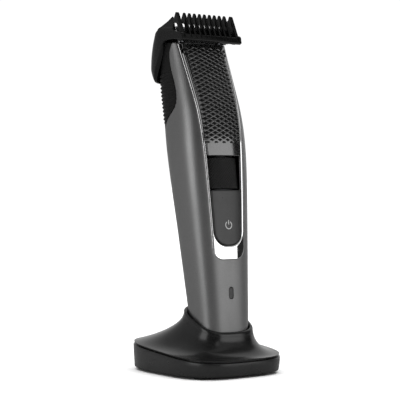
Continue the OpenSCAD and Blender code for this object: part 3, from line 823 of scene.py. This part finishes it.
def lattice(x, h):
    """Rhombic dimples over the upper panel, smaller in the last rows and clear of its edges."""
    half_x, half_h, low, high, depth = 2.6, 1.27, 110.9, 163.5, 0.4
    row = np.floor((h - low) / half_h)
    best = np.full(np.shape(x), 9.0)
    for step in (0, 1):
        r = row + step
        shift = np.where(r % 2 == 0, 0.0, half_x)
        centre_x = np.round((x - shift) / (2 * half_x)) * 2 * half_x + shift
        size = np.clip(0.4 + 0.12 * r, 0.4, 0.8)
        reach = np.abs(x - centre_x) / (half_x * size) + np.abs(h - low - r * half_h) / (half_h * size)
        edge_room = panel_half_w(h) - 1.2 - np.abs(centre_x)
        inside = (r >= 0) & (low + r * half_h < high) & (edge_room > 0)
        reach = np.where(inside, reach, 9.0)
        best = np.minimum(best, reach)
    return -depth * np.clip((1 - best) / 0.22, 0, 1)


def symbol_distance(x, h):
    """Power symbol in x and height about the origin: an open ring and an upright stroke."""
    radius, stroke, opening = 2.0, 0.24, math.radians(38)
    angle = np.abs(np.arctan2(x, h))
    end_x, end_h = radius * math.sin(opening), radius * math.cos(opening)
    ring = np.where(angle > opening, np.abs(np.hypot(x, h) - radius), np.hypot(np.abs(x) - end_x, h - end_h))
    upright = np.hypot(x, h - np.clip(h, 0.5, 2.5))
    return np.minimum(ring, upright) - stroke


def build_housing():
    turns = grid_lines(FRONT - math.pi, FRONT + math.pi, 0.036, (FRONT - 0.17, FRONT + 0.17, 0.016))[:-1]
    housing = moulding(
        section_round,
        turns,
        grid_lines(-1, SKIN_HIGH, 0.85, (LENS_Z - 4.5, LENS_Z + 4.5, 0.3)),
        round_cut(
            lambda p: -panel_distance(p, BEZEL_LOW, BEZEL_R, BEZEL_W + 2 * GAP),
            lambda p: -grip_distance(p) + GAP / 2,
            lambda p: -slot_distance(p, LENS_Z, LENS_HALF, 0.15),
            lambda p: -p[..., 2],
            above_top,
        ),
        WALL, 0.3, period=FULL_TURN,
    )
    handset_piece("housing_shell", housing, "handset", "housing_grey", ["housing"])


def build_grip():
    grip = moulding(
        section_round,
        grid_lines(FRONT + 0.6, FRONT + FULL_TURN - 0.6, 0.03),
        grid_lines(91, SKIN_HIGH, 0.42),
        round_cut(lambda p: grip_distance(p) + GAP / 2, lambda p: -slot_behind(p), above_top),
        WALL, 0.35, ribs,
    )
    handset_piece("grip_shell", grip, "handset", "grip_rubber", ["rear_grip"])


def build_bezel():
    rules = (
        lambda p: panel_distance(p, BEZEL_LOW, BEZEL_R, BEZEL_W),
        lambda p: -panel_distance(p, PANEL_LOW, PANEL_R, 0),
        above_top,
    )
    bezel = moulding(
        section_bezel,
        np.linspace(0, 1, 24),
        grid_lines(0, BEZEL_RUN[-1], 0.55),
        lambda across, run: np.maximum.reduce([rule(section_bezel(across, run, 0)) for rule in rules]),
        0.8, 0.2, bezel_bevel,
    )
    handset_piece("bezel_trim", bezel, "handset", "chrome_trim", ["chrome_bezel"])


def build_upper_panel():
    """Gloss panel whose dimples have a matt floor."""
    points, faces = moulding(
        section_front,
        grid_lines(-16, 16, 0.26),
        grid_lines(UPPER_LOW - 0.5, SKIN_HIGH, 0.26),
        front_cut(
            lambda p: panel_distance(p, PANEL_LOW, PANEL_R, -PANEL_GAP),
            lambda p: UPPER_LOW - p[..., 2],
            above_top,
        ),
        1.5, 0.25, lattice,
    )
    panel = handset_piece("lattice_panel", (points, faces), "handset", "panel_gloss", ["upper_panel"])
    x, y, h = np.array([points[face].mean(axis=0) for face in faces]).T
    outside = y < section_front(x, h, -0.9)[..., 1]
    add_finish(panel, "cell_matt", outside & (lattice(x, h) < -0.3))


def build_button():
    button = moulding(
        section_front,
        grid_lines(-13, 13, 0.5),
        grid_lines(PANEL_LOW - 0.5, BUTTON_HIGH + 1, 0.5),
        front_cut(
            lambda p: panel_distance(p, PANEL_LOW + PANEL_GAP, PANEL_R, -PANEL_GAP),
            lambda p: p[..., 2] - BUTTON_HIGH,
        ),
        1.5, 0.4,
    )
    handset_piece("key_panel", button, "power_button", "button_satin", ["power_button"])
    symbol = moulding(
        section_front,
        grid_lines(-3, 3, 0.09),
        grid_lines(SYMBOL_Z - 3, SYMBOL_Z + 3, 0.09),
        lambda x, h: symbol_distance(x, h - SYMBOL_Z),
        0.1, 0.03, lambda x, h: 0 * x + 0.03,
    )
    handset_piece("power_symbol", symbol, "power_button", "cream_plastic", look="icon_grey")


def build_lens():
    """Window over the charge light, set 0.3 mm back from the skin."""
    lens = moulding(
        section_front,
        grid_lines(-2, 2, 0.16),
        grid_lines(LENS_Z - 4, LENS_Z + 4, 0.16),
        front_cut(lambda p: slot_distance(p, LENS_Z, LENS_HALF, 0)),
        WALL, 0.2, lambda x, h: 0 * x - 0.3,
    )
    handset_piece("charge_light", lens, "handset", "lens_smoke", ["indicator_lens"])


def build_wheel():
    """Thumb wheel: a knurled drum with the plain sleeve above it."""
    teeth, pitch_h, height, radius, edge = 60, 1.55, 0.34, WHEEL_R + 0.05, 0.7
    bore, sleeve, sleeve_high = 11.4, 12.2, 126.6
    turns = np.linspace(0, FULL_TURN, 480, endpoint=False)
    heights = grid_lines(WHEEL_LOW + edge, WHEEL_HIGH - edge, 0.26)

    def knurl(h):
        across = turns * teeth / FULL_TURN
        up = (h - WHEEL_LOW) / pitch_h
        ways = [np.abs((across + sign * up) % 1 - 0.5) * 2 for sign in (-1, 1)]
        return radius - height * np.clip(np.maximum(*ways) * 1.6 - 0.5, 0, 1)

    def ring(r, h):
        return in_row(np.stack([r * np.cos(turns), AXIS_Y + r * np.sin(turns), h + 0 * turns], axis=-1))

    def end_rings(h, side):
        arc = np.radians([90, 60, 30])
        return [ring(knurl(h) - edge * (1 - math.cos(a)), h + side * edge * math.sin(a)) for a in arc]

    low, high = heights[0], heights[-1]
    rings = [ring(bore + 0 * turns, low - edge)] + end_rings(low, -1)
    rings += [ring(knurl(h), h) for h in heights]
    rings += end_rings(high, 1)[::-1]
    sleeve_profile = ((sleeve, high + edge), (sleeve, sleeve_high), (bore, sleeve_high))
    rings += [ring(r + 0 * turns, h) for r, h in sleeve_profile]
    piece("thumb_wheel", loft(rings, loop=True), "zoom_wheel", "wheel_black", ["zoom_wheel"], sharp=60)


# ------------ comb and cutter

COMB_WALL, COMB_GAP, COMB_FRONT = 1.75, 0.35, -14.1
COMB_BACK, COMB_N = (1.6, 3.2), 4.2
ARM_TAPER_H, ARM_THINNING, BACK_THINNING = (149, 157), 1.45, 0.8
CREASE_H, CREASE_RISE, CREASE_Y, CREASE_PROUD = 172.4, 0.22, -12.3, 0.3
WING_LEAN = 0.36
COMB_HALF_W, BAR_T = 20.4, 2.4
BAR_Z = (-1.0, 2.8)
FINS, FIN_PITCH, FIN_HALF_T = 9, 3.38, 0.55
END_FIN_X, END_FIN_HALF_T = 18.1, 0.9
BOSS_Y, BOSS_Z, BOSS_HALF_W = (16, 20.4), (153.7, 156.6), 3.8
FIN_OUTLINE = [
    (0, -0.3), (0, 14.9), (0.3, 15.9), (0.9, 16), (4.9, 12.9), (4.4, 11.4), (2.6, 10.2), (2.5, 8.8), (3.5, 7),
    (6.6, 3.4), (5, 0.6), (2, -0.3),
]


def section_comb(u, h, grow):
    """Point of the comb's wall: u goes from -1, at one side's front, round the back to pi + 1."""
    grow = grow + COMB_GAP + COMB_WALL
    turn = np.clip(u, 0, math.pi)
    outward = (grow - COMB_GAP) / COMB_WALL
    below = (ARM_TAPER_H[1] - h) / (ARM_TAPER_H[1] - ARM_TAPER_H[0])
    thin = np.clip(below, 0, 1) ** 1.5 * outward
    p = section_round(turn, h, grow - ARM_THINNING * thin, COMB_N)
    back = COMB_BACK[0] + (COMB_BACK[1] - COMB_BACK[0]) * outward - BACK_THINNING * thin
    p[..., 1] = p[..., 1] + back * np.minimum(1, 2 * np.sin(turn))
    ahead = np.where(u < 0, -u, np.where(u > math.pi, u - math.pi, 0))
    p[..., 1] = p[..., 1] + (COMB_FRONT - p[..., 1]) * ahead
    return p


def wing_lean(u, h):
    """The top of the comb's side walls leans in above a raised crease."""
    y = section_comb(u, h, 0)[..., 1]
    crease = CREASE_H + CREASE_RISE * (y - CREASE_Y)
    ridge = CREASE_PROUD * np.exp(-((h - crease) / 0.6) ** 2)
    return ridge - WING_LEAN * np.clip(h - crease, 0, 4)


def build_comb():
    us = np.concatenate([
        grid_lines(-1, 0, 0.035)[:-1],
        grid_lines(0, math.pi, 0.026),
        grid_lines(math.pi, math.pi + 1, 0.035)[1:],
    ])

    def comb_cut(u, h):
        p = section_comb(u, h, 0)
        return np.maximum(outline_distance(COMB_OUTLINE, p[..., 1], p[..., 2]), COMB_FRONT + 0.6 - p[..., 1])

    wing = moulding(section_comb, us, grid_lines(146, 183, 0.5), comb_cut, COMB_WALL, 0.4, wing_lean)
    piece("comb_frame", (in_row(wing[0]), wing[1]), "comb", "comb_black", ["comb"])
    bar = rounded([(0, BAR_Z[0]), (BAR_T, BAR_Z[0]), (BAR_T, BAR_Z[1]), (0, BAR_Z[1])], 0.8)
    piece("comb_bar", plate(bar, -COMB_HALF_W, COMB_HALF_W, 0.45, in_comb), "comb", "comb_black")
    outline = rounded(FIN_OUTLINE, 0.5, 4)
    fins = [((i - (FINS - 1) / 2) * FIN_PITCH, FIN_HALF_T, 0.28) for i in range(FINS)]
    fins += [(x, END_FIN_HALF_T, 0.5) for x in (-END_FIN_X, END_FIN_X)]
    plates = [plate(outline, x - half, x + half, bevel, in_comb) for x, half, bevel in fins]
    piece("comb_fins", merged(plates), "comb", "comb_black")
    boss = rounded([(BOSS_Y[i], BOSS_Z[j]) for i, j in ((0, 0), (1, 0), (1, 1), (0, 1))], 0.4)
    piece("comb_boss", plate(boss, -BOSS_HALF_W, BOSS_HALF_W, 0.3, in_row), "comb", "comb_black")


# ------------ stand

RING = np.linspace(0, FULL_TURN, 192, endpoint=False)
SCREWS = [(x, y) for x in (-25, 25) for y in (-12, 12)]
SCREW_R, SCREW_HEAD_R = 1.5, 2.7
FEET = [(x, y) for x in (-20.5, 20.5) for y in (-24.5, 24.5)]
FLOOR_TOP = FOOT_H + 2
INLET_HALF, INLET_Z = 4.32, FLOOR_TOP + 4.6


def skirt_top(y):
    """Height of the skirt's sloping top edge."""
    return SKIRT_FRONT + (SKIRT_BACK - SKIRT_FRONT) * (y + STAND_HALF_D) / (2 * STAND_HALF_D)


def base_outline(inset):
    """The stand's footprint, drawn in by inset."""
    a, b = STAND_HALF_W - inset, STAND_HALF_D - inset
    c, s = np.cos(RING), np.sin(RING)
    radius = (np.abs(c / a) ** BASE_N + np.abs(s / b) ** BASE_N) ** (-1 / BASE_N)
    return radius * c, radius * s


def base_ring(inset, height):
    """A ring of the stand's outline at a level height, or at height(y) above the table."""
    x, y = base_outline(inset)
    z = height(y) if callable(height) else height + 0 * y
    return np.stack([x, y, z], axis=-1)


def rim_height(y):
    """Height of the cup's sloping rim in the handset's frame."""
    return RIM_FRONT_Z + (y - RIM_FRONT_Y) * math.tan(RIM_SLOPE)


def rim_ring(grow, drop):
    """Where the grown handset section meets the sloping plane of the cup's rim."""
    guess = section_round(RING, rim_height(0) + 0 * RING, grow)
    for _ in range(3):
        guess = section_round(RING, rim_height(guess[..., 1]), grow)
    guess[..., 2] = rim_height(guess[..., 1]) - drop
    return in_row(guess)


def flare_ring(turn, inset, grow, lift, drop):
    """One ring of the flare, which turns from nearly level at the skirt to upright at the rim."""
    start = base_ring(inset, lambda y: skirt_top(y) + GROOVE_H + lift)
    rim = rim_ring(grow, drop)
    full = FLARE_FULL * ((start[:, 1:2] + STAND_HALF_D) / (2 * STAND_HALF_D)) ** 2
    across = math.sin(turn)
    up = (1 - math.cos(turn)) * (1 - full) + across * full
    flat = start[:, :2] * (1 - across) + rim[:, :2] * across
    return np.concatenate([flat, start[:, 2:] * (1 - up) + rim[:, 2:] * up], axis=1)


def cup_ring(h, grow):
    """A ring round the handset at height h, grown outwards by grow."""
    return in_row(section_round(RING, h + 0 * RING, grow))


def build_skirt():
    """Skirt and floor moulding: slightly drafted, with its lower and upper edges rounded."""
    low_r, high_r, draft = 1.0, 0.45, 0.5
    quarter = np.radians([0, 30, 60, 90])
    rings = [base_ring(2.4, FOOT_H)]
    for a in quarter:
        rings.append(base_ring(draft + low_r * (1 - math.sin(a)), FOOT_H + low_r * (1 - math.cos(a))))
    rings.append(base_ring(0.05, lambda y: skirt_top(y) - 2.5))
    for a in quarter:
        drop = high_r * (1 - math.sin(a))
        rings.append(base_ring(high_r * (1 - math.cos(a)), lambda y, drop=drop: skirt_top(y) - drop))
    rings.append(base_ring(STAND_WALL, skirt_top))
    rings.append(base_ring(STAND_WALL, FLOOR_TOP))
    skirt = piece("stand_skirt_shell", loft(rings), "stand", "stand_skirt", ["stand_base"])
    holes = [rod_shape(x, y, -1, 9, SCREW_R) for x, y in SCREWS]
    holes += [rod_shape(x, y, -1.1, FOOT_H + 1.7, SCREW_HEAD_R) for x, y in SCREWS]
    low, high = (-INLET_HALF, 30, INLET_Z - INLET_HALF), (INLET_HALF, 45, INLET_Z + INLET_HALF)
    holes.append(box_shape(low, high))
    for hole in holes:
        cut_away(skirt, hole)


def build_flare():
    """Upper moulding: up the inside, over the groove's lip, up the flare and over the rim into the cup."""
    outer = CUP_CLEARANCE + CUP_WALL
    lip = CUP_WALL / 2
    edge_r = 0.4
    inner_inset, skirt_gap = STAND_WALL + 1.6, STAND_WALL + 0.15
    rings = [cup_ring(CUP_FLOOR - 1.5, outer), cup_ring(CUP_FLOOR + 1.5, outer)]
    for turn in np.radians([90, 75, 60, 45, 30, 15, 0]):
        rings.append(flare_ring(turn, inner_inset, outer, -0.6, 5))
    rings.append(base_ring(inner_inset, lambda y: skirt_top(y) - 1.4))
    rings.append(base_ring(skirt_gap, lambda y: skirt_top(y) - 1.4))
    rings.append(base_ring(skirt_gap, lambda y: skirt_top(y) + GROOVE_H))
    for a in np.radians([0, 45, 90]):
        rise = edge_r * (1 - math.cos(a))
        inset = 0.3 + edge_r * (1 - math.sin(a))
        rings.append(base_ring(inset, lambda y, rise=rise: skirt_top(y) + GROOVE_H + rise))
    for turn in np.radians(np.arange(0, 91, 4.5)):
        rings.append(flare_ring(turn, 0.3, outer, 0.5, lip))
    for a in np.radians(np.arange(22.5, 181, 22.5)):
        rings.append(rim_ring(CUP_CLEARANCE + lip + lip * math.cos(a), lip * (1 - math.sin(a))))
    rings.append(cup_ring(CUP_FLOOR, CUP_CLEARANCE))
    shell = piece("stand_flare", loft(rings), "stand", "stand_satin", ["stand_shell"])
    cut_away(shell, box_shape((-8.1, -2.1, CUP_FLOOR - 3), (8.1, 4.1, 1), in_row))


def build_feet():
    profile = [(4.2, 0.0), (4.75, 0.15), (5, 0.45), (5, FOOT_H - 0.02)]
    pads = [loft([ring + np.array([x, y, 0]) for ring in lathe(profile, 48)]) for x, y in FEET]
    piece("foot_pads", merged(pads), "stand", "foot_rubber", ["stand_feet"])


# ------------ CAD nodes that stay


def finish_cad_nodes():
    """Gives each CAD node that still shows the procedural finish of its slot."""
    for name, node in nodes.items():
        for index, slot in enumerate(node.material_slots):
            wanted = slot.material.name.split(".")[0] if slot.material else ""
            if wanted in FINISH_MAKERS:
                node.material_slots[index].material = finish(wanted)
            else:
                print("no finish for", name, wanted)


# ------------ floor, light and camera


# The middle of the object, which the lamps and the camera face, in metres.
TARGET = Vector((0, 0, 0.1))


def build_floor():
    """A plain pale floor. Reflections see it dimmer, as a small table in a larger room."""
    half = 40.0
    mesh = bpy.data.meshes.new("floor")
    corners = [(-half, -half, 0), (half, -half, 0), (half, half, 0), (-half, half, 0)]
    mesh.from_pydata(corners, [], [(0, 1, 2, 3)])
    floor = new_object("floor", mesh)
    pale = bpy.data.materials.new("floor_white")
    pale.use_nodes = True
    tree = pale.node_tree
    tree.nodes.clear()
    path = tree.nodes.new("ShaderNodeLightPath")
    blend = tree.nodes.new("ShaderNodeMixShader")
    tree.links.new(path.outputs["Is Glossy Ray"], blend.inputs[0])
    for socket, value in ((1, 0.95), (2, 0.3)):
        shade = tree.nodes.new("ShaderNodeBsdfDiffuse")
        shade.inputs["Color"].default_value = (value, value, value, 1)
        tree.links.new(shade.outputs["BSDF"], blend.inputs[socket])
    tree.links.new(blend.outputs["Shader"], tree.nodes.new("ShaderNodeOutputMaterial").inputs["Surface"])
    mesh.materials.append(pale)


def direction(azimuth, elevation):
    """Unit vector towards an azimuth, counted from the front to the right, and an elevation, in degrees."""
    a, e = math.radians(azimuth), math.radians(elevation)
    return Vector((math.sin(a) * math.cos(e), -math.cos(a) * math.cos(e), math.sin(e)))


def soft_box(name, azimuth, elevation, distance, width, height, radiance):
    """A rectangular light of even radiance that faces the object."""
    light = bpy.data.lights.new(name, "AREA")
    light.shape = "RECTANGLE"
    light.size, light.size_y = width, height
    light.energy = radiance * math.pi * width * height
    lamp = new_object(name, light)
    lamp.location = TARGET + direction(azimuth, elevation) * distance
    lamp.rotation_euler = (TARGET - lamp.location).to_track_quat("-Z", "Y").to_euler()
    lamp.visible_camera = False


# How bright the room is seen from the object, by azimuth in degrees: near the horizon and well above it.
ROOM_LOW = [
    (-180, 0.35), (-110, 0.35), (-62, 0.2), (-45, 0.03), (5, 0.03), (10, 0.3), (45, 0.3), (46, 0.02),
    (76, 0.02), (86, 0.8), (160, 0.8), (180, 0.35),
]
ROOM_HIGH = [
    (-180, 0.4), (-110, 0.25), (-60, 0.1), (-45, 0.05), (2, 0.05), (10, 0.4), (45, 0.4), (58, 0.05),
    (85, 0.1), (100, 0.7), (160, 0.7), (180, 0.5),
]


def build_world():
    """A pale room with darker and brighter walls, plain white where it is seen directly."""
    world = bpy.data.worlds.new("studio")
    bpy.context.scene.world = world
    world.use_nodes = True
    tree = world.node_tree
    background = tree.nodes["Background"]
    background.inputs["Color"].default_value = (1, 1, 1, 1)
    coordinates = tree.nodes.new("ShaderNodeTexCoord")
    split = tree.nodes.new("ShaderNodeSeparateXYZ")
    tree.links.new(coordinates.outputs["Generated"], split.inputs["Vector"])

    def wall(azimuth, stops):
        ramp = tree.nodes.new("ShaderNodeValToRGB")
        tree.links.new(azimuth, ramp.inputs["Fac"])
        elements = ramp.color_ramp.elements
        while len(elements) < len(stops):
            elements.new(0.5)
        for element, (degrees, value) in zip(elements, stops):
            element.position = (degrees + 180) / 360
            element.color = (value, value, value, 1)
        return ramp.outputs["Color"]

    turn = tree.nodes.new("ShaderNodeMath")
    turn.operation = "ARCTAN2"
    tree.links.new(split.outputs["X"], turn.inputs[0])
    tree.links.new(map_range(tree, split.outputs["Y"], (-1, 1, 1, -1)), turn.inputs[1])
    azimuth = map_range(tree, turn.outputs["Value"], (-math.pi, math.pi, 0, 1))
    room = tree.nodes.new("ShaderNodeMix")
    above = map_range(tree, split.outputs["Z"], (0.40, 0.52, 0, 1), "SMOOTHSTEP")
    tree.links.new(above, room.inputs["Factor"])
    tree.links.new(wall(azimuth, ROOM_LOW), room.inputs["A"])
    tree.links.new(wall(azimuth, ROOM_HIGH), room.inputs["B"])
    seen = tree.nodes.new("ShaderNodeLightPath")
    choose = tree.nodes.new("ShaderNodeMix")
    tree.links.new(seen.outputs["Is Camera Ray"], choose.inputs["Factor"])
    tree.links.new(room.outputs["Result"], choose.inputs["A"])
    choose.inputs["B"].default_value = 1.05
    tree.links.new(choose.outputs["Result"], background.inputs["Strength"])


def build_lights():
    soft_box("front_box", 27, 4, 0.95, 0.60, 0.46, 1.42)
    soft_box("side_box", -81, 10, 1.1, 0.70, 0.66, 1.9)
    soft_box("top_strip", 0, 31, 1.1, 0.16, 0.42, 1.0)
    sun = bpy.data.lights.new("skylight", "SUN")
    sun.energy = 3.3
    sun.angle = math.radians(100)
    lamp = new_object("skylight", sun)
    lamp.location = (0, 0, 2)
    lamp.visible_glossy = False


def build_camera():
    data = bpy.data.cameras.new("camera")
    data.lens = 127.5
    data.sensor_width = 36
    data.shift_x, data.shift_y = -0.015, -0.034
    camera = new_object("camera", data)
    camera.location = TARGET + direction(-36.8, 0.25) * 0.77
    camera.rotation_euler = (TARGET - camera.location).to_track_quat("-Z", "Y").to_euler()
    bpy.context.scene.camera = camera


build_housing()
build_grip()
build_bezel()
build_upper_panel()
build_button()
build_lens()
build_wheel()
build_comb()
build_skirt()
build_flare()
build_feet()
finish_cad_nodes()
build_floor()
build_world()
build_lights()
build_camera()
bpy.context.scene.view_settings.view_transform = "Standard"
